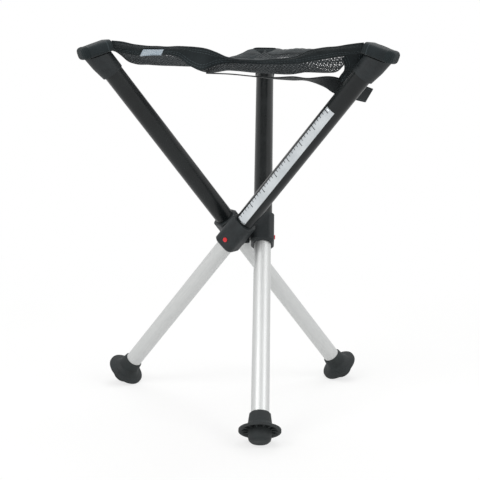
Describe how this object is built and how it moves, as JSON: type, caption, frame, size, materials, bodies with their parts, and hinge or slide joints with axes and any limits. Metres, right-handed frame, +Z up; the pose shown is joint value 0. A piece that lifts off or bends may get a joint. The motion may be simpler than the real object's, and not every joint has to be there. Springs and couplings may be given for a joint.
{
  "type": "folding stool",
  "caption": "Folding camp stool with telescopic legs crossed at a central hub, a triangular mesh seat and rubber feet, shown open at full height",
  "frame": {"origin": "on the floor, straight below the middle of the hub that the legs cross at", "axes": "+Z up, +Y away from the front edge of the seat, +X to the right when the front edge is looked at"},
  "size_m": [0.3637, 0.3918, 0.4463],
  "materials": {
    "black_tube": "satin",
    "silver_tube": "satin",
    "black_nylon": "matte",
    "bush_plastic": "matte",
    "red_button": "satin",
    "steel": "satin",
    "black_rubber": "matte",
    "black_webbing": "matte",
    "black_mesh": "matte",
    "tag_cloth": "matte"
  },
  "bodies": {
    "hub": {"hub_block": "black_nylon", "pivot_screws": "steel", "seat_mesh": "black_mesh", "seat_band_front": "black_webbing", "seat_band_left": "black_webbing", "seat_band_right": "black_webbing", "seat_tag": "tag_cloth", "under_strap": "black_webbing"},
    "leg_a_upper": {"upper_tube_a": "black_tube", "leg_sleeve_a": "black_nylon", "top_cap_a": "black_nylon", "corner_pocket_a": "black_webbing"},
    "leg_a_lower": {"lower_tube_a": "silver_tube", "guide_bush_a": "bush_plastic", "catch_spring_a": "steel", "foot_a": "black_rubber"},
    "button_a": {"lock_button_a": "red_button"},
    "leg_b_upper": {"upper_tube_b": "black_tube", "leg_sleeve_b": "black_nylon", "top_cap_b": "black_nylon", "corner_pocket_b": "black_webbing"},
    "leg_b_lower": {"lower_tube_b": "silver_tube", "guide_bush_b": "bush_plastic", "catch_spring_b": "steel", "foot_b": "black_rubber"},
    "button_b": {"lock_button_b": "red_button"},
    "leg_c_upper": {"upper_tube_c": "black_tube", "leg_sleeve_c": "black_nylon", "top_cap_c": "black_nylon", "corner_pocket_c": "black_webbing"},
    "leg_c_lower": {"lower_tube_c": "silver_tube", "guide_bush_c": "bush_plastic", "catch_spring_c": "steel", "foot_c": "black_rubber"},
    "button_c": {"lock_button_c": "red_button"}
  },
  "joints": [
    {"name": "fold_a", "type": "hinge", "parent": "hub", "child": "leg_a_upper", "pos_m": [-0.01175, -0.02035, 0.215], "axis": [-0.5, -0.866, 0], "range_deg": [0, 24], "deforming": ["seat_mesh", "seat_band_front", "seat_band_left", "seat_band_right", "seat_tag", "under_strap"]},
    {"name": "fold_b", "type": "hinge", "parent": "hub", "child": "leg_b_upper", "pos_m": [-0.01175, 0.02035, 0.215], "axis": [-0.5, 0.866, 0], "range_deg": [0, 24]},
    {"name": "fold_c", "type": "hinge", "parent": "hub", "child": "leg_c_upper", "pos_m": [0.0235, 0, 0.215], "axis": [1, 0, 0], "range_deg": [0, 24]},
    {"name": "slide_a", "type": "slide", "parent": "leg_a_upper", "child": "leg_a_lower", "axis": [0.5578, -0.3221, 0.7649], "range_m": [0, 0.214]},
    {"name": "slide_b", "type": "slide", "parent": "leg_b_upper", "child": "leg_b_lower", "axis": [-0.5578, -0.3221, 0.7649], "range_m": [0, 0.214]},
    {"name": "slide_c", "type": "slide", "parent": "leg_c_upper", "child": "leg_c_lower", "axis": [0, 0.6441, 0.7649], "range_m": [0, 0.214]},
    {"name": "press_a", "type": "slide", "parent": "leg_a_upper", "child": "button_a", "axis": [0.5, 0.866, 0], "range_m": [0, 0.0015], "stiffness_N_per_m": 1500},
    {"name": "press_b", "type": "slide", "parent": "leg_b_upper", "child": "button_b", "axis": [0.5, -0.866, 0], "range_m": [0, 0.0015], "stiffness_N_per_m": 1500},
    {"name": "press_c", "type": "slide", "parent": "leg_c_upper", "child": "button_c", "axis": [-1, 0, 0], "range_m": [0, 0.0015], "stiffness_N_per_m": 1500}
  ],
  "couplings": [
    {"joint": "fold_b", "follows": "fold_a", "ratio": 1},
    {"joint": "fold_c", "follows": "fold_a", "ratio": 1}
  ]
}
